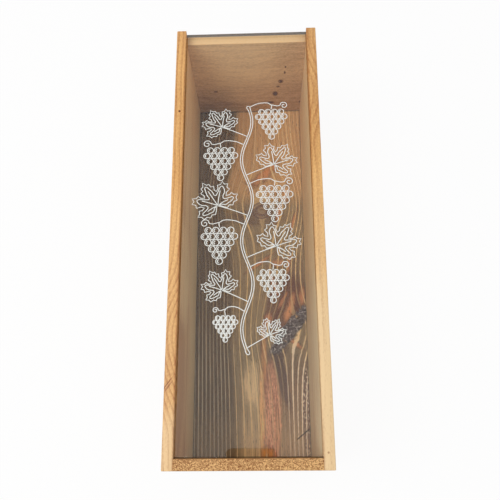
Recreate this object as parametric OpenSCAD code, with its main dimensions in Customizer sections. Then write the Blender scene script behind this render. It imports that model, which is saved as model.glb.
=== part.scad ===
// Wooden wine box for one bottle, with a clear acrylic lid that slides in grooves.
// The box lies on its back: X runs across it, Y from the bottle's foot to its neck
// and Z from the back board up to the lid. All sizes are in millimetres.

/* [Bottle space] */
// Clear width between the side boards
space_w = 97; // [85:1:120]
// Clear length between the end boards
space_l = 327; // [280:1:400]
// Clear depth from the back board up to the lid
space_h = 90; // [70:1:110]

/* [Boards] */
// Thickness of the side boards
side_t = 7.5; // [6:0.5:12]
// Thickness of the end boards
end_t = 7.5; // [5:0.5:12]
// Thickness of the back board
back_t = 7.5; // [5:0.5:12]
// Radius of the sanded outer edges
sanded_r = 0.6; // [0.3:0.1:1.5]
// Gap that lets the lid pass over the top end board
pass_gap = 0.3; // [0.1:0.1:1]

/* [Sliding lid] */
// Thickness of the acrylic sheet
lid_t = 3; // [2:0.5:5]
// Depth of the groove in each side board
groove_d = 4; // [2:0.5:4.5]
// Height of the lip above each groove
lip_h = 3.5; // [2:0.5:6]
// Play of the lid in its grooves, above it and at each edge
lid_play = 0.5; // [0.2:0.1:0.8]
// Radius of the lid's corners
lid_corner_r = 1; // [0.5:0.25:3]

/* [Finger notch] */
// Width of the notch in the lid's near edge
notch_w = 33.5; // [20:0.5:50]
// Depth of the notch
notch_d = 6; // [5:0.1:12]
// Radius of the notch's inner corners
notch_r = 4; // [1:0.5:4.5]
// Distance of the notch's middle from the lid's, to the right
notch_x = 2; // [-10:0.5:10]

/* [Nails] */
// Diameter of the nail's shank
nail_d = 1.4; // [1:0.1:2]
// Diameter of the nail's head
nail_head_d = 2.4; // [2.2:0.1:3.5]
// Thickness of the nail's head
nail_head_t = 0.8; // [0.5:0.1:1.2]
// Length of the nails that join the side boards to the end boards
side_nail_l = 20; // [15:1:30]
// Length of the nails that hold the back board
back_nail_l = 18; // [15:1:25]
// Depth that the heads are set below the wood
nail_set = 0.2; // [0.1:0.1:0.6]
// Clearance round a nail in its hole
nail_fit = 0.05; // [0.02:0.01:0.1]
// Number of nails at each corner
corner_nails = 3; // [2:1:4]
// Height of the lowest corner nail above the back board
corner_nail_z = 15; // [12:1:20]
// Number of back nails along each side board
long_nails = 5; // [3:1:8]
// Distance of the first of them from the end of the box
long_nail_y = 24; // [18:1:40]
// Distance between the two back nails in each end board
end_nail_x = 40; // [20:1:50]

/* [Hidden] */
$fn = 48;

box_w = space_w + 2 * side_t;
box_l = space_l + 2 * end_t;
groove_h = lid_t + lid_play;
groove_z = back_t + space_h;
box_h = groove_z + groove_h + lip_h;

// Middle planes of the boards that the nails run into
side_mid_x = space_w / 2 + side_t / 2;
end_mid_y = space_l / 2 + end_t / 2;

lid_w = space_w + 2 * (groove_d - lid_play);
lid_near_y = -space_l / 2 + lid_play;
lid_far_y = box_l / 2;

corner_nail_step = (space_h - 2 * corner_nail_z) / (corner_nails - 1);
long_nail_step = (box_l - 2 * long_nail_y) / (long_nails - 1);
nail_point_l = 1.5 * nail_d;
nail_tip_d = nail_d / 4;

// Amount by which a cutting shape stands out of the wood
cut_over = 1;

// Where each nail's head lies, and the way it is driven: [place, angles]
function corner_nail_places(side) = [
    for (end = [-1, 1], i = [0 : corner_nails - 1])
        [
            [side * box_w / 2, end * end_mid_y, back_t + corner_nail_z + i * corner_nail_step],
            [0, -90 * side, 0]
        ]
];
back_nail_places = concat(
    [
        for (side = [-1, 1], i = [0 : long_nails - 1])
            [[side * side_mid_x, i * long_nail_step - box_l / 2 + long_nail_y, 0], [0, 0, 0]]
    ],
    [
        for (end = [-1, 1], side = [-1, 1])
            [[side * end_nail_x / 2, end * end_mid_y, 0], [0, 0, 0]]
    ]
);

// Rectangle about the origin with true arcs at its corners
module rounded_rectangle(size, r) {
    square([size[0], size[1] - 2 * r], center = true);
    square([size[0] - 2 * r, size[1]], center = true);
    for (x = [-1, 1], y = [-1, 1])
        translate([x * (size[0] / 2 - r), y * (size[1] / 2 - r)])
            circle(r);
}

// Outer form of the nailed box, with every outer edge sanded round
module sanded_form() {
    intersection() {
        linear_extrude(box_h)
            rounded_rectangle([box_w, box_l], sanded_r);
        translate([0, box_l / 2, box_h / 2])
            rotate([90, 0, 0])
                linear_extrude(box_l)
                    rounded_rectangle([box_w, box_h], sanded_r);
        translate([-box_w / 2, 0, box_h / 2])
            rotate([90, 0, 90])
                linear_extrude(box_w)
                    rounded_rectangle([box_l, box_h], sanded_r);
    }
}

// Nail driven up along Z, with its head set a little under z = 0
module nail(length) {
    translate([0, 0, nail_set])
        cylinder(h = nail_head_t, d = nail_head_d);
    translate([0, 0, nail_set + nail_head_t])
        cylinder(h = length - nail_head_t - nail_point_l, d = nail_d);
    translate([0, 0, nail_set + length - nail_point_l])
        cylinder(h = nail_point_l, d1 = nail_d, d2 = nail_tip_d);
}

// Hole that such a nail leaves in the wood
module nail_hole(length) {
    translate([0, 0, -cut_over])
        cylinder(h = cut_over + nail_set + nail_head_t, d = nail_head_d + 2 * nail_fit);
    cylinder(h = nail_set + length + nail_fit, d = nail_d + 2 * nail_fit);
}

// Puts the children at each of a list of nail places
module at_places(places) {
    for (p = places)
        translate(p[0])
            rotate(p[1])
                children();
}

// All the nail holes that a board could meet
module all_nail_holes() {
    at_places(concat(corner_nail_places(-1), corner_nail_places(1)))
        nail_hole(side_nail_l);
    at_places(back_nail_places)
        nail_hole(back_nail_l);
}

// Section of the right side board, across the box: a plank with the lid's groove
// and an eased inner edge on its lip
module side_section() {
    difference() {
        translate([space_w / 2, back_t])
            square([side_t, box_h - back_t]);
        translate([space_w / 2 - cut_over, groove_z])
            square([groove_d + cut_over, groove_h]);
        translate([space_w / 2, box_h])
            rotate(45)
                square(sanded_r * sqrt(2), center = true);
    }
}

module right_side_board() {
    difference() {
        intersection() {
            translate([0, box_l / 2, 0])
                rotate([90, 0, 0])
                    linear_extrude(box_l)
                        side_section();
            sanded_form();
        }
        all_nail_holes();
    }
}

module right_side() {
    color("burlywood")
        right_side_board();
}

module left_side() {
    color("peru")
        mirror([1, 0, 0])
            right_side_board();
}

// End board between the side boards, up to the given height
module end_board(end, top_z) {
    difference() {
        intersection() {
            translate([-space_w / 2, end * end_mid_y - end_t / 2, back_t])
                cube([space_w, end_t, top_z - back_t]);
            sanded_form();
        }
        all_nail_holes();
    }
}

// The lid slides out over the top end board, so this one stops below the grooves
module top_end() {
    color("tan")
        end_board(1, groove_z - pass_gap);
}

module bottom_end() {
    color("sandybrown")
        end_board(-1, box_h);
}

module back_board() {
    color("saddlebrown")
        difference() {
            intersection() {
                translate([-box_w / 2, -box_l / 2, 0])
                    cube([box_w, box_l, back_t]);
                sanded_form();
            }
            all_nail_holes();
        }
}

// Notch for a fingertip, with a straight inner edge and round inner corners
module finger_notch() {
    translate([-notch_w / 2, -cut_over])
        square([notch_w, cut_over + notch_d - notch_r]);
    translate([notch_r - notch_w / 2, -cut_over])
        square([notch_w - 2 * notch_r, cut_over + notch_d]);
    for (x = [-1, 1])
        translate([x * (notch_w / 2 - notch_r), notch_d - notch_r])
            circle(notch_r);
}

module sliding_lid() {
    color("lightblue", 0.4)
        translate([0, 0, groove_z])
            linear_extrude(lid_t)
                difference() {
                    translate([0, (lid_near_y + lid_far_y) / 2])
                        rounded_rectangle([lid_w, lid_far_y - lid_near_y], lid_corner_r);
                    translate([notch_x, lid_near_y])
                        finger_notch();
                }
}

module left_side_nails() {
    color("lightgray")
        at_places(corner_nail_places(-1))
            nail(side_nail_l);
}

module right_side_nails() {
    color("lightgray")
        at_places(corner_nail_places(1))
            nail(side_nail_l);
}

module back_nails() {
    color("gray")
        at_places(back_nail_places)
            nail(back_nail_l);
}

left_side();
right_side();
top_end();
bottom_end();
back_board();
sliding_lid();
left_side_nails();
right_side_nails();
back_nails();
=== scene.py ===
import math

import bpy
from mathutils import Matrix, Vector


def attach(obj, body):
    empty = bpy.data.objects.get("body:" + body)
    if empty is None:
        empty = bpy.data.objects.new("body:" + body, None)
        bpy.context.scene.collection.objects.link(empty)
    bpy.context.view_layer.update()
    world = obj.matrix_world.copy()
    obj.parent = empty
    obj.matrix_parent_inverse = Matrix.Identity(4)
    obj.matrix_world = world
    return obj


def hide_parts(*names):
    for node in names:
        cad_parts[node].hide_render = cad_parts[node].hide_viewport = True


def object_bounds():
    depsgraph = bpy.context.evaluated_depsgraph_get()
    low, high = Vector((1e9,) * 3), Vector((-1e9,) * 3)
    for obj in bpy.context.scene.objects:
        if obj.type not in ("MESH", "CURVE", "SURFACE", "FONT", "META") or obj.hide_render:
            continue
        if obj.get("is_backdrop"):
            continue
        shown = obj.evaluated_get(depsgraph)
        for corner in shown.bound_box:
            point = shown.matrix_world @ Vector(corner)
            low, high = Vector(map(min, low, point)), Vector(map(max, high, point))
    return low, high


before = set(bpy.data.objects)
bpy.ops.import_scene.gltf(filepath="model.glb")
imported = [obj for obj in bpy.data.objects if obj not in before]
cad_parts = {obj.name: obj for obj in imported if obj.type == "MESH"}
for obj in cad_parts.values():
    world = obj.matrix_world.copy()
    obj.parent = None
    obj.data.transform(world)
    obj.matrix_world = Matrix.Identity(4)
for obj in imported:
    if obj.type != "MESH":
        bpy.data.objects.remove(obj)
cad_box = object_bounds()

# The camera looks almost straight down on the lid, from above the near end of the
# box and a little to the right of its middle.
camera_data = bpy.data.cameras.new("camera")
camera_data.sensor_width = 36.0
camera_data.lens = 38.32
camera_data.shift_y = 0.112
camera = bpy.data.objects.new("camera", camera_data)
camera.location = (0.0120, -0.1610, 0.4590)
camera.rotation_euler = [math.radians(angle) for angle in (15.60, 1.73, -0.33)]
bpy.context.scene.collection.objects.link(camera)
bpy.context.scene.camera = camera
bpy.context.scene.view_settings.view_transform = "Standard"


# The studio is a white room and a sheet of white paper on the table, with one large
# soft lamp up on the left. The paper keeps the shadow of the box.
class Socket:
    """A socket of a finish. Sums, products and powers of sockets add Math nodes,
    and node() adds any other node to the same finish."""

    def __init__(self, tree, output=None):
        self.tree = tree
        self.output = output

    def node(self, kind, settings=None, values=None, output=0):
        made = self.tree.nodes.new(kind)
        for name, setting in (settings or {}).items():
            setattr(made, name, setting)
        for name, value in (values or {}).items():
            if isinstance(value, Socket):
                self.tree.links.new(value.output, made.inputs[name])
            else:
                made.inputs[name].default_value = value
        return Socket(self.tree, made.outputs[output]) if made.outputs else None

    def other(self, name):
        return Socket(self.tree, self.output.node.outputs[name])

    def math(self, operation, *values):
        return self.node("ShaderNodeMath", {"operation": operation}, dict(enumerate(values)))

    def __add__(self, other):
        return self.math("ADD", self, other)

    def __radd__(self, other):
        return self.math("ADD", other, self)

    def __sub__(self, other):
        return self.math("SUBTRACT", self, other)

    def __rsub__(self, other):
        return self.math("SUBTRACT", other, self)

    def __mul__(self, other):
        return self.math("MULTIPLY", self, other)

    def __rmul__(self, other):
        return self.math("MULTIPLY", other, self)

    def __truediv__(self, other):
        return self.math("DIVIDE", self, other)

    def __pow__(self, other):
        return self.math("POWER", self, other)

    def __abs__(self):
        return self.math("ABSOLUTE", self)


def start_finish(name):
    """Returns a new empty material and a socket to build its nodes from."""
    material = bpy.data.materials.new(name)
    material.use_nodes = True
    material.node_tree.nodes.clear()
    return material, Socket(material.node_tree)


def end_finish(start, shader):
    """Ends a finish with its shader."""
    start.node("ShaderNodeOutputMaterial", None, {"Surface": shader})


def seen_white(start, share, plain, white):
    """Mixes white into plain for the rays of the camera, of gloss and of glass."""
    ray = start.node("ShaderNodeLightPath", output="Is Camera Ray")
    seen = start.math("MAXIMUM", ray, ray.other("Is Glossy Ray"))
    seen = start.math("MAXIMUM", seen, ray.other("Is Transmission Ray"))
    return start.node("ShaderNodeMixShader", None, {0: seen * share, 1: plain, 2: white})


room = bpy.data.worlds.new("white_room")
room.use_nodes = True
room.node_tree.nodes.clear()
start = Socket(room.node_tree)
room_light = start.node("ShaderNodeBackground", None, {"Strength": 0.84})
room_white = start.node("ShaderNodeBackground", None, {"Color": (1.0, 1.0, 1.0, 1.0)})
surface = seen_white(start, 1.0, room_light, room_white)
start.node("ShaderNodeOutputWorld", None, {"Surface": surface})
bpy.context.scene.world = room

bpy.ops.mesh.primitive_plane_add(size=8)
paper = bpy.context.object
paper.name = "paper"
material, start = start_finish("white_paper")
paper_matt = start.node("ShaderNodeBsdfDiffuse", None, {"Color": (0.9, 0.9, 0.9, 1.0)})
paper_white = start.node("ShaderNodeEmission", None, {"Strength": 1.0})
end_finish(start, seen_white(start, 0.92, paper_matt, paper_white))
paper.data.materials.append(material)
paper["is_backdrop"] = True

lamp_data = bpy.data.lights.new("soft_lamp", "AREA")
lamp_data.shape = "DISK"
lamp_data.size = 0.9
lamp_data.energy = 8.0
lamp = bpy.data.objects.new("soft_lamp", lamp_data)
lamp.location = (-0.76, -0.30, 1.30)
lamp.rotation_euler = (math.radians(13.0), math.radians(-30.0), 0.0)
bpy.context.scene.collection.objects.link(lamp)


# The two side boards are planed pine, sanded round along their outer edges and oiled.
# A saw groove near the top takes the lid, and the grain runs along the box.
board_t = 0.0075
box_x = 0.056
box_y = 0.171
box_z = 0.1045
inner_x = box_x - board_t
inner_y = box_y - board_t
groove_z = 0.0975
groove_h = 0.0035
groove_d = 0.004
outer_round = 0.0007
rim_round = 0.7 * outer_round
joint_round = 0.0002
smooth_angle = math.radians(35.0)
nail_z = (0.0225, 0.0525, 0.0825)
nail_y = box_y - board_t / 2
pocket_r = 0.00128
pocket_h = 0.0018
saw_low = (0.0, -0.2, groove_z)
saw_high = (inner_x + groove_d, 0.2, groove_z + groove_h)
tiny = 1e-5


def block(name, low, high):
    """A squared block between two corners."""
    bpy.ops.object.select_all(action="DESELECT")
    bpy.ops.mesh.primitive_cube_add(
        size=1.0,
        location=[(a + b) / 2 for a, b in zip(low, high)],
        scale=[b - a for a, b in zip(low, high)],
    )
    piece = bpy.context.object
    piece.name = name
    bpy.ops.object.transform_apply(location=True, rotation=True, scale=True)
    return piece


def cut(piece, cutter):
    """Takes the cutter's shape out of the piece, and the cutter away."""
    bpy.ops.object.select_all(action="DESELECT")
    bpy.context.view_layer.objects.active = piece
    bpy.ops.object.modifier_add(type="BOOLEAN")
    modifier = piece.modifiers[-1]
    modifier.operation = "DIFFERENCE"
    modifier.object = cutter
    bpy.ops.object.modifier_apply(modifier=modifier.name)
    bpy.data.objects.remove(cutter)


def ease_edges(piece, radius_of):
    """Rounds each edge by what radius_of gives for its two ends."""
    mesh = piece.data
    radii = [radius_of(*(mesh.vertices[i].co for i in edge.vertices)) for edge in mesh.edges]
    weights = mesh.attributes.new("bevel_weight_edge", "FLOAT", "EDGE")
    weights.data.foreach_set("value", [radius / outer_round for radius in radii])
    bpy.context.view_layer.objects.active = piece
    bpy.ops.object.modifier_add(type="BEVEL")
    modifier = piece.modifiers[-1]
    modifier.limit_method = "WEIGHT"
    modifier.width = outer_round
    modifier.segments = 3
    bpy.ops.object.modifier_apply(modifier=modifier.name)
    piece.select_set(True)
    bpy.ops.object.shade_smooth_by_angle(angle=smooth_angle)


def board_radius(a, b):
    """Wide rounding on the outer edges of the box, less on the inner edges of its rim,
    and a fine one at the joints."""
    middle = (a + b) / 2
    outer = [
        abs(abs(middle.x) - box_x) < tiny,
        abs(abs(middle.y) - box_y) < tiny,
        middle.z > box_z - tiny or middle.z < tiny,
    ]
    if sum(outer) >= 2:
        return outer_round
    if outer[2] and abs(abs(middle.x) - inner_x) < tiny:
        return rim_round
    return joint_round


def nail_pocket(place, axis):
    """A cutter for the dent that a nail's head leaves in a board."""
    bpy.ops.object.select_all(action="DESELECT")
    turn = (0.0, math.radians(90.0), 0.0) if axis == "x" else (0.0, 0.0, 0.0)
    bpy.ops.mesh.primitive_cylinder_add(
        vertices=24, radius=pocket_r, depth=pocket_h, location=place, rotation=turn
    )
    bpy.ops.object.transform_apply(location=True, rotation=True, scale=True)
    return bpy.context.object


right_side = block("right_side_board", (inner_x, -box_y, board_t), (box_x, box_y, box_z))
cut(right_side, block("saw", saw_low, saw_high))
ease_edges(right_side, board_radius)
for end in (-1, 1):
    for z in nail_z:
        cut(right_side, nail_pocket((box_x, end * nail_y, z), "x"))

bpy.ops.object.select_all(action="DESELECT")
right_side.select_set(True)
bpy.context.view_layer.objects.active = right_side
bpy.ops.object.duplicate()
left_side = bpy.context.object
left_side.name = "left_side_board"
left_side.scale = (-1.0, 1.0, 1.0)
bpy.ops.object.transform_apply(location=True, rotation=True, scale=True)
bpy.ops.object.mode_set(mode="EDIT")
bpy.ops.mesh.select_all(action="SELECT")
bpy.ops.mesh.normals_make_consistent(inside=False)
bpy.ops.object.mode_set(mode="OBJECT")


def tint(red, green, blue):
    """A colour from its usual values of 0 to 255 on a screen."""
    parts = [part / 255 for part in (red, green, blue)]
    return (*[p / 12.92 if p < 0.04045 else ((p + 0.055) / 1.055) ** 2.4 for p in parts], 1.0)


def millimetres(start):
    """The place on the box, as three sockets in millimetres."""
    place = start.node("ShaderNodeTexCoord", output="Object")
    x = start.node("ShaderNodeSeparateXYZ", None, {0: place})
    return x * 1000.0, x.other("Y") * 1000.0, x.other("Z") * 1000.0


def noise(start, place, sizes, detail=2.0, seed=0.0, roughness=0.5):
    """Noise about 0.5, in blots of the given sizes in millimetres."""
    across = {i: p / size for i, (p, size) in enumerate(zip(place, sizes))}
    return start.node(
        "ShaderNodeTexNoise",
        {"noise_dimensions": "4D"},
        {
            "Vector": start.node("ShaderNodeCombineXYZ", None, across),
            "W": seed,
            "Scale": 1.0,
            "Detail": detail,
            "Roughness": roughness,
        },
    )


def step(start, value, low, high):
    """Rises smoothly from 0 at low to 1 at high, or falls where low is the larger."""
    values = {"Value": value, "From Min": low, "From Max": high}
    return start.node("ShaderNodeMapRange", {"interpolation_type": "SMOOTHSTEP"}, values)


def mix(start, share, first, second, way="MIX"):
    """Lays a share of the second colour over the first."""
    settings = {"data_type": "RGBA", "blend_type": way}
    return start.node("ShaderNodeMix", settings, {0: share, 6: first, 7: second}, output=2)


def spot(start, place, middle, sizes, edge=0.5):
    """1 within an oval patch of the given half sizes, falling to 0 past its edge."""
    parts = [((p - m) / size) ** 2.0 for p, m, size in zip(place, middle, sizes)]
    return step(start, start.math("SQRT", sum(parts[1:], parts[0])), 1.0 + edge, 1.0 - edge)


def solid(start, colour, roughness, height, depth, strength=0.6, metallic=0.0):
    """An opaque surface with its colour, its roughness and its relief."""
    values = {"Strength": strength, "Distance": depth, "Height": height}
    normal = start.node("ShaderNodeBump", None, values)
    values = {"Base Color": colour, "Metallic": metallic, "Roughness": roughness, "Normal": normal}
    return start.node("ShaderNodeBsdfPrincipled", None, values)


def pine(name, along, pith, ring, figure, pale, dark, seed, sawn, marks_and_light):
    """Pine with its grain along one axis and its pith beside the board, oiled outside.
    figure is the contrast of its year rings, and sawn is that of the grit on its end
    grain. The last argument gives each board's own markings with its painted light and
    shade: how far its grain bends, how much darker it is made, and where the wood is
    unoiled or painted paler."""
    material, start = start_finish(name)
    x, y, z = millimetres(start)
    place = {"x": (y, z, x), "y": (x, z, y), "z": (x, y, z)}[along]
    u, v = place[:2]
    drift = (noise(start, place, (45.0, 45.0, 120.0), 1.0, seed) - 0.5) * 12.0
    ripple = (noise(start, place, (9.0, 9.0, 40.0), 2.0, seed + 3.0) - 0.5) * 2.0
    bend, marks_and_shade, bare_and_lit = marks_and_light(start, x, y, z)
    reach = start.math("SQRT", (u - pith[0]) ** 2.0 + (v - pith[1]) ** 2.0) + drift + ripple
    year = start.math("FRACT", (reach + bend) / ring)
    late = step(start, year, 0.3, 0.9) * step(start, year, 1.0, 0.9)
    fibre = noise(start, place, (0.5, 0.5, 12.0), 2.0, seed + 5.0, 0.6)
    streak = noise(start, place, (2.2, 2.2, 60.0), 2.0, seed + 7.0)
    cloud = noise(start, place, (22.0, 22.0, 60.0), 2.0, seed + 9.0)
    nap = noise(start, place, (1.1, 1.1, 2.2), 2.0, seed + 10.0, 0.7)
    pore = step(start, noise(start, place, (0.5, 0.5, 3.0), 1.0, seed + 11.0), 0.66, 0.76)
    facing = start.node("ShaderNodeTexCoord", output="Normal")
    sides = start.node("ShaderNodeSeparateXYZ", None, {0: facing})
    cross = step(start, abs(sides.other(along.upper())), 0.6, 0.8)
    grit = noise(start, (x, y, z), (0.65, 0.65, 0.65), 2.0, seed + 13.0, 0.7)
    shade = late * figure + (streak - 0.5) * 0.7 + (fibre - 0.5) * 0.5 + (cloud - 0.5) * 0.7
    shade = shade + (nap - 0.5) * 1.3 + 0.3 - figure * 0.35
    # the last term adds the board's own markings and its painted light and shade
    shade = shade + cross * ((grit - 0.5) * sawn + 0.25) + marks_and_shade
    shade = start.node("ShaderNodeClamp", None, {"Value": shade})
    colour = mix(start, shade, pale, dark)
    # the unoiled wood inside and the painted light both pale the colour here
    colour = mix(start, (0.8 - shade * 0.4) * bare_and_lit, colour, tint(240, 228, 194))
    colour = mix(start, step(start, marks_and_shade, 1.0, 1.8), colour, tint(84, 34, 10))
    colour = mix(start, pore * (1.0 - cross) * 0.35, colour, tint(120, 78, 42))
    height = fibre * 0.5 + late * figure * 0.6 + nap * 0.3 - pore * 0.5 + cross * grit * 1.5
    roughness = 0.5 + (fibre - 0.5) * 0.25 + cross * 0.2
    end_finish(start, solid(start, colour, roughness, height, 0.00025))
    return material


# places in the patterns are in millimetres, like those that millimetres() gives
wall = inner_x * 1000.0
end_wall = inner_y * 1000.0
groove_low = groove_z * 1000.0
groove_high = groove_low + groove_h * 1000.0
rim_low = 80.0
rim_high = 103.0


def inner_face(start, across, z):
    """Where a side board is unoiled wood inside, and a dark line of painted shade along the
    lower edge of the lid's slot.
    """
    bare_and_lit = step(start, across, wall + 0.4, wall)
    bare_and_lit = bare_and_lit * step(start, z, groove_low - 0.5, groove_low - 2.0)
    return bare_and_lit, spot(start, (across, z), (wall, groove_low), (2.0, 1.6), 0.5) * 0.5


def right_board_marks_and_light(start, x, y, z):
    """A rim with arched grain at the far end and a small knot, and inside a brown streak
    low down. Painted light pales the near end of the rim and the inside at the near end,
    and makes the inside lighter and warmer far off. Painted shade darkens the far end of
    the board and the inner edge of its rim."""
    # painted light: the near end of the rim is paler, past a broken slanted edge
    broken = (noise(start, (x, y, z), (2.0, 40.0, 2.0), 2.0, 19.0) - 0.5) * 60.0
    paler = step(start, y + x * 0.8 + broken, 25.0, -35.0) * 0.36
    paler = (paler + step(start, y, 60.0, -20.0) * 0.2) * step(start, z, rim_low, rim_high)
    streak = spot(start, (x, z), (wall, 42.0), (3.0, 2.2), 0.7) * 0.3
    knot = spot(start, (x, y), (51.7, -160.0), (0.7, 0.7), 0.6) * 1.1
    bend = spot(start, (z, y), (106.0, 110.0), (14.0, 26.0), 0.9) * 9.0
    # painted shade: the far end of the board is darker
    far_shade = step(start, y, 20.0, 90.0) * 0.16
    bare_and_lit, groove_shade = inner_face(start, x, z)
    # painted light makes the inside lighter and warmer far off, and lighter at the near end
    lit_far = step(start, y, -110.0, 20.0)
    light_and_shade = bare_and_lit * (step(start, y, 60.0, -110.0) * 0.1 - lit_far * 0.44)
    light_and_shade = light_and_shade - bare_and_lit * step(start, y, -120.0, -160.0) * 0.4
    # painted shade along the inner edge of the rim, above the lid's slot
    inner_edge_shade = step(start, x, wall + 1.2, wall + 0.2) * 0.35
    inner_edge_shade = inner_edge_shade * step(start, z, groove_high, groove_high + 3.0)
    marks_and_shade = far_shade + streak + knot + groove_shade + light_and_shade + inner_edge_shade - paler * 0.45
    return bend, marks_and_shade, start.math("MAXIMUM", bare_and_lit * (1.0 - lit_far * 0.55), paler)


def left_board_marks_and_light(start, x, y, z):
    """A rim with slanted grain, cracks and a small knot, its near end painted paler as lit.
    Inside, painted light about the middle, far off and low down, and painted dusk near the
    top of the near end. Painted shade darkens the inside toward the near end and runs along
    the inner edge of the rim."""
    # painted light: the near end of the rim is paler
    paler = step(start, y - x * 0.8, -80.0, -106.0) * 0.32 + step(start, y, 40.0, -10.0) * 0.1
    paler = paler * step(start, z, rim_low, rim_high)
    knot = spot(start, (x, y), (-51.8, 95.5), (0.8, 0.8), 0.4) * 2.0
    swirl = spot(start, (z, y), (108.0, -88.0), (16.0, 34.0), 0.9)
    crack = noise(start, (x - y * 0.7, y, z), (1.6, 30.0, 30.0), 1.0, 3.0)
    crack = step(start, crack, 0.62, 0.7) * spot(start, (z, y), (105.0, -113.0), (9.0, 9.0), 0.5)
    bare_and_lit, groove_shade = inner_face(start, x * -1.0, z)
    # painted light far off, low down and about the middle; painted dusk near the top of the near
    # end
    lit_far = step(start, y, 20.0, 150.0)
    lit_low = step(start, z, 64.0, 24.0)
    painted_glow = spot(start, (z, y), (82.0, -30.0), (30.0, 36.0), 0.4) * 0.5
    painted_dusk = spot(start, (z, y), (88.0, -112.0), (22.0, 44.0), 0.4) * 0.55
    # painted shade darkens the inside toward the near end, less where painted light falls
    light_and_shade = step(start, y, 150.0, -110.0) * 0.6 - 0.12 - lit_low * 0.65 - lit_far * 0.3 - painted_glow + painted_dusk
    # painted shade along the inner edge of the rim
    inner_edge_shade = step(start, x, -wall - 1.5, -wall - 0.3) * 0.38
    inner_edge_shade = inner_edge_shade * step(start, z, groove_high, groove_high + 3.0)
    marks_and_shade = knot + crack * 1.5 + swirl * 0.08 + groove_shade + bare_and_lit * light_and_shade + inner_edge_shade - paler * 0.3
    # painted light leaves more pale tint low down and a warmer colour far off; painted shade less
    # up high
    upper = step(start, z, 66.0, 86.0)
    bare_and_lit = bare_and_lit * (1.0 - lit_far * 0.5 + lit_low * 0.3 - upper * 0.2)
    return swirl * 16.0, marks_and_shade, start.math("MAXIMUM", bare_and_lit, paler)


right_side.data.materials.append(
    pine(
        "right_pine",
        along="y",
        pith=(118.0, 44.0),
        ring=3.4,
        figure=0.3,
        pale=tint(238, 186, 116),
        dark=tint(166, 100, 42),
        seed=1.0,
        sawn=1.6,
        marks_and_light=right_board_marks_and_light,
    )
)
left_side.data.materials.append(
    pine(
        "left_pine",
        along="y",
        pith=(-112.0, 70.0),
        ring=3.1,
        figure=0.42,
        pale=tint(238, 184, 114),
        dark=tint(168, 100, 42),
        seed=31.0,
        sawn=1.6,
        marks_and_light=left_board_marks_and_light,
    )
)
for piece, node in ((right_side, "right_side"), (left_side, "left_side")):
    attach(piece, "box")
    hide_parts(node)


# The end boards stand between the side boards. The lid slides out over the far one,
# which is lower, and the near one stops it. The near board's grain stands upright, so
# its top is sawn end grain.
lid_clearance = 0.0003
top_end_z = groove_z - lid_clearance


def top_end_marks_and_shade(start, x, y, z):
    """Arched grain, a top painted pale as lit, and an inner face with a faint smudge and
    drops of dark resin. Painted shade dims the inner face toward the back board and in its
    corners, and painted light brightens a patch left of its middle."""
    arch = spot(start, (x, z), (-6.0, 40.0), (34.0, 44.0), 0.9) * 11.0
    smudge = spot(start, (x, z), (-3.0, 69.0), (8.0, 4.0), 0.9) * 0.14
    drops = [
        spot(start, (x, z), middle, sizes, 0.5)
        for middle, sizes in (
            ((33.0, 68.5), (0.7, 1.0)),
            ((32.5, 61.5), (0.8, 1.5)),
            ((29.2, 50.0), (2.0, 2.2)),
            ((27.0, 43.0), (1.4, 0.9)),
            ((24.6, 33.3), (2.2, 3.0)),
            ((20.3, 20.5), (3.2, 1.6)),
            ((48.0, 20.7), (0.7, 1.3)),
            ((-30.5, 37.8), (1.7, 0.7)),
        )
    ]
    ragged = noise(start, (x, y, z), (1.1, 1.1, 1.1), 2.0, 71.0)
    resin = sum(drops[1:], drops[0]) * step(start, ragged, 0.3, 0.42)
    inner = step(start, y, end_wall + 4.0, end_wall + 1.5)
    # painted light: the top of the board is made paler
    top = step(start, z, top_end_z * 1000.0 - 0.6, top_end_z * 1000.0 - 0.1)
    # painted shade toward the back board and in the corners, and a patch of painted light
    painted_dusk = step(start, z, 64.0, 16.0) * 0.36
    painted_dusk = painted_dusk + spot(start, (x, z), (-38.0, 18.0), (18.0, 26.0), 0.8) * 0.24
    painted_dusk = painted_dusk + spot(start, (x, z), (38.0, 76.0), (14.0, 26.0), 0.8) * 0.2
    painted_dusk = painted_dusk - spot(start, (x, z), (-12.0, 62.0), (26.0, 26.0), 0.8) * 0.16
    return arch, (smudge + resin * 1.8 + painted_dusk) * inner - top * 0.6, inner * (0.3 - top * 0.3)


def bottom_end_marks(start, x, y, z):
    """Plain sawn wood, paler on the right, with pale flecks in the end grain on top."""
    fleck = step(start, noise(start, (x, y, z), (0.7, 0.7, 0.7), 1.0, 95.0), 0.58, 0.68)
    fleck = fleck * step(start, z, rim_high, rim_high + 1.0)
    paler = step(start, x, 0.0, 44.0) * 0.16
    return 0.0, 0.14 - fleck - paler, 0.0


top_end = block("top_end_board", (-inner_x, inner_y, board_t), (inner_x, box_y, top_end_z))
ease_edges(top_end, board_radius)
bottom_end = block("bottom_end_board", (-inner_x, -box_y, board_t), (inner_x, -inner_y, box_z))
ease_edges(bottom_end, board_radius)
top_end.data.materials.append(
    pine(
        "top_end_pine",
        along="x",
        pith=(120.0, 8.0),
        ring=4.6,
        figure=0.1,
        pale=tint(244, 200, 144),
        dark=tint(160, 104, 58),
        seed=61.0,
        sawn=1.6,
        marks_and_light=top_end_marks_and_shade,
    )
)
bottom_end.data.materials.append(
    pine(
        "bottom_end_pine",
        along="z",
        pith=(10.0, -230.0),
        ring=2.6,
        figure=0.3,
        pale=tint(240, 192, 128),
        dark=tint(142, 88, 40),
        seed=91.0,
        sawn=7.0,
        marks_and_light=bottom_end_marks,
    )
)
for piece, node in ((top_end, "top_end"), (bottom_end, "bottom_end")):
    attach(piece, "box")
    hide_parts(node)


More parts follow.
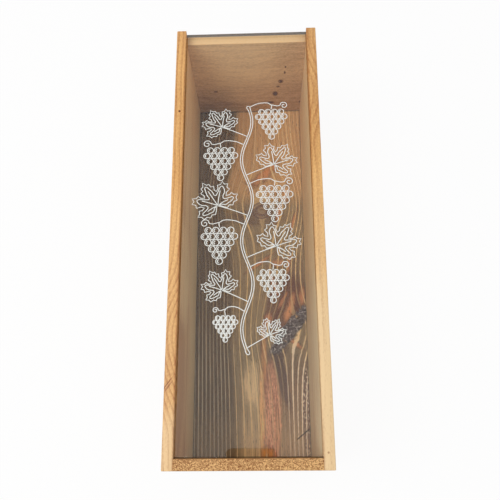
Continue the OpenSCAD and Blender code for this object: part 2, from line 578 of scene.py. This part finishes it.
# The back board is pine that was scorched and brushed, then stained dark brown. The
# hard winter wood stands out in thin pale lines, which run round two knots.
side_row_x = box_x - board_t / 2
side_row_y = -0.147
side_row_pitch = 0.0735
end_pair_x = 0.02
nail_places = [
    (side * side_row_x, side_row_y + side_row_pitch * i) for side in (-1, 1) for i in range(5)
]
nail_places += [(side * end_pair_x, end * nail_y) for side in (-1, 1) for end in (-1, 1)]
back_board = block("back_board_wood", (-box_x, -box_y, 0.0), (box_x, box_y, board_t))
ease_edges(back_board, board_radius)
for place in nail_places:
    cut(back_board, nail_pocket((*place, 0.0), "z"))

# line is the place across the grain: the grain wanders and runs round the two knots
material, start = start_finish("brushed_dark_pine")
x, y, z = millimetres(start)
right_half = step(start, x, -26.0, 0.0)
wander = noise(start, (x, z, y), (50.0, 20.0, 170.0), 1.0, 4.0) - 0.5
line = x + wander * (right_half * 4.0 + 1.0) - z * 0.12
for knot_x, knot_y, size, spread in ((11.0, 64.0, 40.0, 1.1), (34.0, -56.0, 30.0, 1.2)):
    beside = x - knot_x
    away = beside ** 2.0 + ((y - knot_y) / spread) ** 2.0
    line = line - beside * (away / size ** 2 + 1.0) ** -2.0
flow = (line, z, y)
broad = noise(start, flow, (5.0, 30.0, 70.0), 2.0, 18.0)
fine = noise(start, flow, (0.9, 6.0, 22.0), 2.0, 15.0, 0.6)
fleck = noise(start, flow, (0.9, 3.0, 2.2), 2.0, 21.0, 0.7)
ragged = (noise(start, flow, (2.2, 8.0, 9.0), 2.0, 23.0, 0.6) - 0.5) * 0.9


def oval(middle, sizes, slope=0.0, torn=1.0):
    """Rises outward from a torn oval, where it is 1, that leans by slope."""
    leaning = x - (y - middle[1]) * slope
    across = (leaning - middle[0]) / sizes[0]
    along = (y - middle[1]) / sizes[1]
    return across ** 2.0 + along ** 2.0 + ragged * torn


# the stain lies thick on the left, and thin over the heart of the board
stain = mix(start, step(start, fine, 0.34, 0.66), tint(102, 82, 59), tint(119, 97, 71))
khaki = mix(start, step(start, fine, 0.3, 0.7), tint(148, 126, 92), tint(176, 152, 114))
tan = mix(start, step(start, fine, 0.3, 0.7), tint(208, 162, 110), tint(230, 188, 134))
colour = mix(start, step(start, line + (fine - 0.5) * 4.0, -19.0, -9.0), stain, khaki)
far = step(start, y + ragged * 12.0, 58.0, 78.0)
far = far * step(start, line + (fine - 0.5) * 6.0, -15.0, -8.0)
colour = mix(start, far, colour, tan)
near = step(start, y + ragged * 20.0, -60.0, -100.0)
colour = mix(start, near * step(start, line, 14.0, 26.0), colour, tint(130, 102, 76))
# painted light: the near end is lightened where the near end board's shade falls
colour = mix(start, step(start, y, -115.0, -160.0) * 0.3, colour, tint(206, 182, 142))
worn = step(start, oval((1.5, -103.0), (7.6, 19.0), 0.0, 2.6), 1.7, 0.3)
worn = worn * (0.5 + step(start, fine * 0.7 + fleck * 0.3, 0.4, 0.56) * 0.45)
colour = mix(start, worn, colour, tint(224, 194, 148))
smear = step(start, noise(start, flow, (1.2, 9.0, 50.0), 2.0, 35.0, 0.65), 0.52, 0.64)
smear = smear * step(start, line, -16.0, -4.0) * (near * 0.3 + 0.12)
colour = mix(start, smear, colour, tint(96, 70, 52))

# darker clouds round the knots and along the right-hand edge
for middle, sizes, slope, share, cloud in (
    ((6.0, 50.0), (26.0, 8.0), 0.0, 0.75, tint(116, 86, 62)),
    ((40.0, -6.0), (8.0, 20.0), 0.0, 0.6, tint(110, 78, 56)),
    ((30.0, -34.0), (17.0, 30.0), 0.1, 1.0, tint(112, 66, 44)),
    ((22.0, -77.0), (8.0, 13.0), 0.3, 0.8, tint(98, 70, 60)),
    ((26.0, -98.0), (4.6, 26.0), -0.2, 1.0, tint(96, 70, 56)),
    ((46.0, -128.0), (3.5, 38.0), 0.0, 0.8, tint(106, 80, 70)),
):
    cover = step(start, oval(middle, sizes, slope), 1.5, 0.5)
    cover = cover * (0.7 + step(start, broad, 0.35, 0.6) * 0.3)
    colour = mix(start, cover * share, colour, cloud)

# a long reddish band, orange flames with darker rims, the band's golden edges, and a
# blot of resin at its near end
streaky = fine * 0.55 + fleck * 0.45
band = mix(start, step(start, streaky, 0.4, 0.6), tint(152, 98, 74), tint(220, 162, 126))
redness = step(start, oval((16.0, -126.0), (8.4, 42.0), -0.02), 1.3, 0.8)
colour = mix(start, redness * 0.9, colour, band)
for middle, sizes, slope, flame in (
    ((14.0, 94.0), (5.2, 11.5), 0.85, tint(240, 160, 96)),
    ((4.0, 86.0), (7.0, 2.5), 0.0, tint(226, 160, 100)),
    ((33.0, 74.0), (3.0, 9.0), 0.2, tint(240, 176, 100)),
    ((26.0, 54.0), (2.5, 9.0), 0.15, tint(224, 154, 92)),
    ((8.0, 5.0), (2.6, 8.0), 1.3, tint(232, 160, 102)),
    ((25.0, 5.0), (6.0, 3.5), 0.0, tint(222, 158, 108)),
    ((34.0, 3.0), (1.6, 9.0), 0.2, tint(222, 158, 108)),
    ((34.0, -37.0), (3.6, 13.0), 0.3, tint(234, 166, 112)),
    ((28.0, -30.0), (1.6, 8.0), 0.5, tint(220, 150, 100)),
    ((45.0, -26.0), (2.6, 8.0), 0.0, tint(224, 158, 110)),
    ((14.5, -48.0), (3.0, 7.0), 0.2, tint(224, 152, 104)),
    ((11.0, -78.0), (2.2, 24.0), 0.0, tint(238, 174, 112)),
    ((8.6, -128.0), (2.1, 46.0), 0.0, tint(236, 186, 124)),
    ((20.0, -14.0), (1.8, 12.0), -0.3, tint(220, 150, 100)),
    ((40.0, 47.0), (1.6, 9.0), 0.3, tint(226, 156, 98)),
    ((38.5, -69.0), (2.6, 5.0), -1.0, tint(228, 158, 108)),
    ((21.5, -148.0), (1.3, 22.0), -0.02, tint(204, 160, 118)),
    ((12.5, -160.5), (4.6, 5.0), 0.0, tint(190, 134, 70)),
):
    reach = oval(middle, sizes, slope, 2.8)
    colour = mix(start, step(start, reach, 3.0, 1.0) * 0.5, colour, tint(124, 76, 50))
    lick = step(start, reach, 1.6, -0.2) * (0.6 + step(start, fine, 0.36, 0.58) * 0.3)
    colour = mix(start, lick, colour, flame)

# painted light brightens the near end, but not the strip of close lines
painted_near_light = step(start, y, -78.0, -116.0) * 0.6 + step(start, y, -120.0, -160.0) * 0.34
painted_near_light = painted_near_light * step(start, x, -14.0, -4.0)
half_grey = (0.5, 0.5, 0.5, 1.0)
colour = mix(start, painted_near_light, colour, half_grey, "DODGE")

# the hard winter wood: close thin lines on the left, wide golden ones in the heart
tight = start.math("MINIMUM", line + 18.0, 0.0) * 0.13
tight = tight + start.math("MAXIMUM", line - 23.2, 0.0) * 0.11
year = line * 0.17 + 0.585 + tight
year = year + (noise(start, flow, (14.0, 40.0, 500.0), 1.0, 8.0) - 0.5) * 0.25
crest = abs(start.math("FRACT", year) - 0.5) * 2.0
vein = step(start, noise(start, (line, z, y), (2.6, 40.0, 400.0), 1.0, 39.0), 0.4, 0.6)
width = step(start, line, 20.0, 30.0) * 0.07 + step(start, line, -14.0, -22.0) * 0.12
width = width + vein * 0.08 + painted_near_light * 0.06 + 0.19
broken = (fleck - 0.5) * (step(start, line, 18.0, 26.0) * 0.35 + 0.3)
winter = step(start, crest + broken - width, 0.0, -0.14)
vivid = step(start, noise(start, flow, (3.0, 20.0, 50.0), 2.0, 12.0), 0.36, 0.6)
strength = vivid * 0.3 + vein * 0.3 + 0.25 + step(start, y, -40.0, -100.0) * 0.25
strength = strength + step(start, line, 16.0, 26.0) * 0.2 + painted_near_light * 0.3
quiet = near * step(start, line, 18.0, 21.0) * step(start, line, 32.0, 29.0)
quiet = start.math("MAXIMUM", redness, quiet)
strength = strength * (1.0 - quiet * 0.8)
strength = strength - step(start, line, -12.0, -20.0) * step(start, y, -90.0, 0.0) * 0.3
gold = mix(start, step(start, x, -26.0, -8.0), tint(226, 212, 186), tint(255, 224, 170))
cream = step(start, oval((38.0, -122.0), (11.0, 52.0)), 1.3, 0.7)
gold = mix(start, cream, gold, tint(255, 232, 200))
speck = step(start, noise(start, (x, y, z), (0.9, 2.6, 2.0), 1.0, 37.0), 0.56, 0.62)
speck = speck * step(start, oval((46.5, -126.0), (3.6, 40.0)), 1.3, 0.7)
shown = step(start, oval((30.0, -34.0), (17.0, 30.0)), 0.7, 1.4) * 0.6 + 0.4
winter_share = start.math("MAXIMUM", winter * strength * shown, speck * 0.8)
colour = mix(start, winter_share, colour, gold)
warmer = (1.0, 0.92, 0.8, 1.0)
colour = mix(start, step(start, y, -90.0, -30.0), colour, warmer, "MULTIPLY")

# the two knots: a round dark eye, and a gnarled one with grey bark grown into it
eye = ((x - 10.5) / 9.5) ** 2.0 + ((y - 57.0) / 8.5) ** 2.0
ringed = step(start, abs(start.math("FRACT", eye * 1.6 + ragged) - 0.5), 0.36, 0.16)
inside = step(start, eye + ragged * 0.3, 1.1, 0.9)
colour = mix(start, inside * (0.45 + ringed * 0.4), colour, tint(112, 76, 62))
twist = (noise(start, (x, y, z), (8.0, 8.0, 8.0), 2.0, 25.0) - 0.5) * 14.0
gnarl = noise(start, (x + twist, y + twist * 0.6, z), (2.6, 2.2, 8.0), 3.0, 27.0, 0.65)
bark = step(start, oval((34.5, -56.0), (8.0, 22.0), 0.72, 1.8), 1.3, 0.8)
bark = bark * step(start, noise(start, (x, y, z), (6.0, 6.0, 9.0), 2.0, 29.0), 0.33, 0.42)
ashen = mix(start, step(start, gnarl, 0.42, 0.56), tint(52, 40, 40), tint(120, 108, 108))
ashen = mix(start, step(start, gnarl, 0.55, 0.63), ashen, tint(204, 194, 186))
colour = mix(start, bark * 0.95, colour, ashen)

# a drying crack near the corner, dirt in the pores, and the dark corners of the box
crack_x = 42.5
crack_y = -145.0
slant = abs((x - crack_x) * 0.63 - (y - crack_y) * 0.78) + (fleck - 0.5) * 0.5
crack = step(start, slant, 0.55, 0.25)
crack = crack * spot(start, (x, y), (crack_x, crack_y), (7.0, 6.0), 0.2)
dirt = step(start, noise(start, flow, (0.6, 3.0, 4.0), 1.0, 33.0), 0.62, 0.72)
corner = step(start, abs(x), wall - 1.1, wall - 0.1)
corner = start.math("MAXIMUM", corner, step(start, abs(y), end_wall - 1.7, end_wall - 0.3))
corner = corner * step(start, abs(x), wall + 0.2, wall)
corner = corner * step(start, abs(y), end_wall + 0.2, end_wall)
edge_x = box_x * 1000.0
edge_y = box_y * 1000.0
outside = step(start, abs(x), edge_x - 1.2, edge_x - 0.2)
outside = start.math("MAXIMUM", outside, step(start, abs(y), edge_y - 1.2, edge_y - 0.2))
outside = start.math("MAXIMUM", outside, step(start, z, 1.2, 0.2))
colour = mix(start, crack * 0.9, colour, tint(40, 26, 18))
colour = mix(start, dirt * 0.45, colour, tint(66, 46, 32))
colour = mix(start, corner * 0.7, colour, tint(52, 38, 26))
colour = mix(start, outside * 0.6, colour, tint(92, 68, 48))

height = winter + fine * 0.5 + bark * gnarl * 2.0 - crack * 2.0 - dirt * 0.5
end_finish(start, solid(start, colour, 0.6 + (fine - 0.5) * 0.3, height, 0.0005))
back_board.data.materials.append(material)
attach(back_board, "box")
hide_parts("back_board")


# Round steel nails join the boards. Their heads are set a little under the wood.
material, start = start_finish("nail_steel_worn")
x, y, z = millimetres(start)
scuff = noise(start, (x, y, z), (0.5, 0.5, 0.5), 3.0, 2.0, 0.6)
colour = mix(start, step(start, scuff, 0.4, 0.7), tint(176, 172, 166), tint(122, 108, 96))
end_finish(start, solid(start, colour, scuff * 0.4 + 0.2, scuff, 0.0001, 0.5, metallic=1.0))
for node in ("left_side_nails", "right_side_nails", "back_nails"):
    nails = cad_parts[node]
    for slot in nails.material_slots:
        slot.material = material


# The lid is a clear acrylic sheet with polished faces and sawn edges. A notch in its
# near edge takes a fingertip, and it slides out in the side boards' grooves.
lid_t = 0.003
lid_play = 0.0005
lid_x = inner_x + groove_d - lid_play
lid_low = (-lid_x, lid_play - inner_y, groove_z)
lid_high = (lid_x, box_y, groove_z + lid_t)
lid_corner_r = 0.001
lid_edge_r = 0.00015
notch_x = 0.002
notch_half = 0.01675
notch_deep = 0.006
notch_corner_r = 0.004
notch_z = (0.09, 0.11)
lid = block("acrylic_lid", lid_low, lid_high)
notch = block(
    "notch_cutter",
    (notch_x - notch_half, lid_low[1] - notch_deep, notch_z[0]),
    (notch_x + notch_half, lid_low[1] + notch_deep, notch_z[1]),
)


def round_upright(piece, radius, segments):
    """Rounds the upright edges of a piece."""
    bpy.ops.object.select_all(action="DESELECT")
    bpy.context.view_layer.objects.active = piece
    piece.select_set(True)
    bpy.ops.object.mode_set(mode="EDIT")
    bpy.ops.mesh.select_all(action="DESELECT")
    bpy.ops.object.mode_set(mode="OBJECT")
    for edge in piece.data.edges:
        a, b = (piece.data.vertices[i].co for i in edge.vertices)
        edge.select = abs(a.z - b.z) > tiny
    bpy.ops.object.mode_set(mode="EDIT")
    bpy.ops.mesh.select_mode(type="EDGE")
    bpy.ops.mesh.bevel(offset=radius, segments=segments)
    bpy.ops.object.mode_set(mode="OBJECT")


round_upright(lid, lid_corner_r, 4)
round_upright(notch, notch_corner_r, 10)
cut(lid, notch)
ease_edges(lid, lambda a, b: lid_edge_r if abs(a.z - b.z) < tiny else 0.0)
material, start = start_finish("clear_acrylic_face")
facing = start.node("ShaderNodeLayerWeight", None, {"Blend": 0.5}, output="Facing")
mirrored = facing ** 5.0 * 0.97 + 0.026
clear = start.node("ShaderNodeBsdfTransparent", None, {"Color": (0.985, 0.992, 0.988, 1.0)})
gloss = start.node("ShaderNodeBsdfGlossy", None, {"Color": (1.0, 1.0, 1.0, 1.0), "Roughness": 0.03})
end_finish(start, start.node("ShaderNodeMixShader", None, {0: mirrored, 1: clear, 2: gloss}))
lid.data.materials.append(material)
material, start = start_finish("sawn_acrylic_edge_painted_shade")
x, y, z = millimetres(start)
saw = noise(start, (x, y, z), (1.2, 1.2, 0.25), 2.0, 6.0, 0.6)
# painted shade: the sawn edges are coloured dark brown-grey for the dark they reflect
colour = mix(start, step(start, saw, 0.35, 0.65), tint(72, 62, 52), tint(118, 108, 96))
matt = solid(start, colour, 0.45, saw, 0.0001, 0.5)
clear = start.node("ShaderNodeBsdfTransparent", None, {"Color": (0.96, 0.98, 0.97, 1.0)})
share = saw * 0.15 + 0.85
end_finish(start, start.node("ShaderNodeMixShader", None, {0: share, 1: clear, 2: matt}))
lid.data.materials.append(material)
for face in lid.data.polygons:
    face.material_index = 0 if abs(face.normal.z) > 0.9 else 1
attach(lid, "lid")
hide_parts("sliding_lid")


# The lid's ornament is a grapevine cut into the acrylic by a laser, in fine frosted
# lines: a winding stem of two lines, with a leaf and a bunch of grapes at each turn.
line_half = 0.33
line_flatness = 0.1
stem_low = -95.0
stem_step = 4.0
stem_count = 50
stem_half = 0.8
stem_sway = 4.0
turn_pitch = 33.0
top_turn_y = 87.4
root_off = 13.0
leaf_sizes = (16.5, 18.5, 20.0, 19.0, 15.5, 12.0)
leaf_turn = 32.0
leaf_gap = 5.5
leaf_drop = 3.0
bunch_scales = (0.9, 0.95, 1.0, 0.98, 0.84, 0.64)
bunch_gap = 6.5
bunch_half = 14.0
bunch_rise = 8.5
grape_r = 2.45
glint_r = 1.25
grape_pitch = 5.6
grape_row = 4.9
curl_r = 3.6
leaf_rim = [
    (0.0, 1.0), (0.08, 0.84), (0.17, 0.83), (0.17, 0.7), (0.28, 0.66), (0.22, 0.52),
    (0.25, 0.42), (0.38, 0.5), (0.42, 0.62), (0.53, 0.58), (0.66, 0.66), (0.66, 0.52),
    (0.78, 0.46), (0.68, 0.36), (0.72, 0.24), (0.55, 0.19), (0.47, 0.08), (0.6, 0.04),
    (0.7, 0.08), (0.74, -0.03), (0.86, -0.1), (0.74, -0.18), (0.72, -0.3), (0.58, -0.29),
    (0.48, -0.38), (0.38, -0.31), (0.26, -0.36), (0.16, -0.26), (0.05, -0.1),
]
leaf_inside = [
    (0.0, 0.8), (0.08, 0.64), (0.12, 0.46), (0.13, 0.3), (0.26, 0.35), (0.4, 0.45),
    (0.54, 0.5), (0.56, 0.38), (0.5, 0.24), (0.36, 0.12), (0.34, 0.03), (0.48, -0.04),
    (0.66, -0.12), (0.54, -0.2), (0.4, -0.21), (0.26, -0.22), (0.14, -0.12),
]
leaf_veins = ((0.0, 0.6), (0.4, 0.38), (-0.4, 0.38), (0.44, -0.1), (-0.44, -0.1))
lines = []


def add_line(points, closed=False, sharp=False):
    """Keeps one line for the engraving, as points in millimetres on the lid."""
    lines.append((points, closed, sharp))


def set_down(points, x, y, turn, size):
    """Moves points that are drawn about (0, 0) to their place on the lid."""
    c, s = math.cos(turn), math.sin(turn)
    return [(x + size * (px * c - py * s), y + size * (px * s + py * c)) for px, py in points]


def both_halves(half):
    """The right half of an outline, and the left half as its mirror image."""
    return half + [(-px, py) for px, py in reversed(half[1:])]


def vine_leaf(x, y, turn, size):
    """A leaf of five lobes: its toothed rim, a second line inside it, and its veins."""
    add_line(set_down(both_halves(leaf_rim), x, y, turn, size), closed=True, sharp=True)
    add_line(set_down(both_halves(leaf_inside), x, y, turn, size), closed=True)
    for tip_x, tip_y in leaf_veins:
        middle = (tip_x * 0.5, tip_y * 0.5 - 0.05 + 0.04 * abs(tip_x))
        add_line(set_down([(0.0, -0.1), middle, (tip_x, tip_y)], x, y, turn, size))


def arc(x, y, radius, first, last, count):
    """Points along an arc, from its first to its last angle in degrees."""
    angles = [math.radians(first + (last - first) * i / count) for i in range(count + 1)]
    return [(x + radius * math.cos(a), y + radius * math.sin(a)) for a in angles]


def bunch(x, y, scale):
    """Rows of round grapes, each with a short glint inside."""
    for row, count in enumerate((4, 5, 4, 3, 2, 1)):
        for i in range(count):
            grape_x = x + (i - (count - 1) / 2) * grape_pitch * scale
            grape_y = y - row * grape_row * scale
            add_line(arc(grape_x, grape_y, grape_r * scale, 0, 315, 7), closed=True)
            add_line(arc(grape_x, grape_y, glint_r * scale, 100, 250, 4))


def curl(x, y, side, scale):
    """The end of a tendril, which winds inward."""
    points = []
    for i in range(12):
        radius = curl_r * scale * (1.0 - 0.075 * i)
        turn = i * math.pi / 4
        points.append((x + side * radius * math.cos(turn), y + radius * math.sin(turn)))
    return points


def stem_x(y):
    """How far the stem sways to the side at a height on the lid."""
    return stem_sway * math.sin(((y - top_turn_y) / turn_pitch + 0.5) * math.pi)


stem_ys = [stem_low + stem_step * i for i in range(stem_count)]
one_side = [(stem_x(y) - stem_half, y) for y in stem_ys]
other_side = [(stem_x(y) + stem_half, y) for y in reversed(stem_ys)]
add_line(one_side + other_side, closed=True)
for row, (size, scale) in enumerate(zip(leaf_sizes, bunch_scales)):
    turn_y = top_turn_y - turn_pitch * row
    side = 1 if row % 2 else -1

    # a leaf in the hollow of the turn, on a stalk from below
    leaf_x = side * (leaf_gap + size * 0.86)
    leaf_y = turn_y - leaf_drop
    turn = math.radians(-side * leaf_turn)
    vine_leaf(leaf_x, leaf_y, turn, size)
    stalk = set_down([(0.0, -0.1)], leaf_x, leaf_y, turn, size)[0]
    root_y = turn_y - root_off
    root_x = stem_x(root_y) + side * stem_half
    add_line([(root_x, root_y), ((root_x + stalk[0]) / 2, root_y + 4.5), stalk])

    # a bunch of grapes outside the turn, hung from a shoot that ends in a curl
    bunch_x = -side * (bunch_gap + bunch_half * scale)
    bunch_y = turn_y + bunch_rise
    bunch(bunch_x, bunch_y, scale)
    root_y = turn_y + root_off
    root_x = stem_x(root_y) - side * stem_half
    halfway = ((root_x + bunch_x) / 2, root_y + 3.4)
    shoulder = (bunch_x, root_y + 1.8)
    add_line([(root_x, root_y), halfway, shoulder, (bunch_x, bunch_y + 2.4 * scale)])
    add_line([shoulder] + curl(bunch_x - side * 11.0 * scale, root_y + 1.0, side, scale))

vine_data = bpy.data.curves.new("engraved_vine", "CURVE")
vine_data.dimensions = "3D"
vine_data.resolution_u = 3
vine_data.bevel_depth = line_half / 1000
vine_data.bevel_resolution = 1
for points, closed, sharp in lines:
    spline = vine_data.splines.new("BEZIER")
    spline.bezier_points.add(len(points) - 1)
    spline.use_cyclic_u = closed
    for point, (px, py) in zip(spline.bezier_points, points):
        point.co = (px / 1000, py / 1000, 0.0)
        point.handle_left_type = "VECTOR" if sharp else "AUTO"
        point.handle_right_type = point.handle_left_type
vine = bpy.data.objects.new("engraved_vine", vine_data)
bpy.context.scene.collection.objects.link(vine)
bpy.ops.object.select_all(action="DESELECT")
vine.select_set(True)
bpy.context.view_layer.objects.active = vine
bpy.ops.object.convert(target="MESH")
vine = bpy.context.object
vine.scale = (1.0, 1.0, line_flatness)
vine.location = (0.0, 0.0, lid_high[2])
bpy.ops.object.transform_apply(location=True, rotation=True, scale=True)

material, start = start_finish("frosted_acrylic")
x, y, z = millimetres(start)
frost = noise(start, (x, y, z), (0.35, 0.35, 0.35), 3.0, 5.0, 0.7)
colour = mix(start, step(start, frost, 0.35, 0.65), tint(226, 228, 222), tint(255, 255, 250))
end_finish(start, solid(start, colour, frost * 0.3 + 0.55, frost, 0.00008))
vine.data.materials.append(material)
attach(vine, "lid")

sizes = {"cad": cad_box, "visual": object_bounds()}
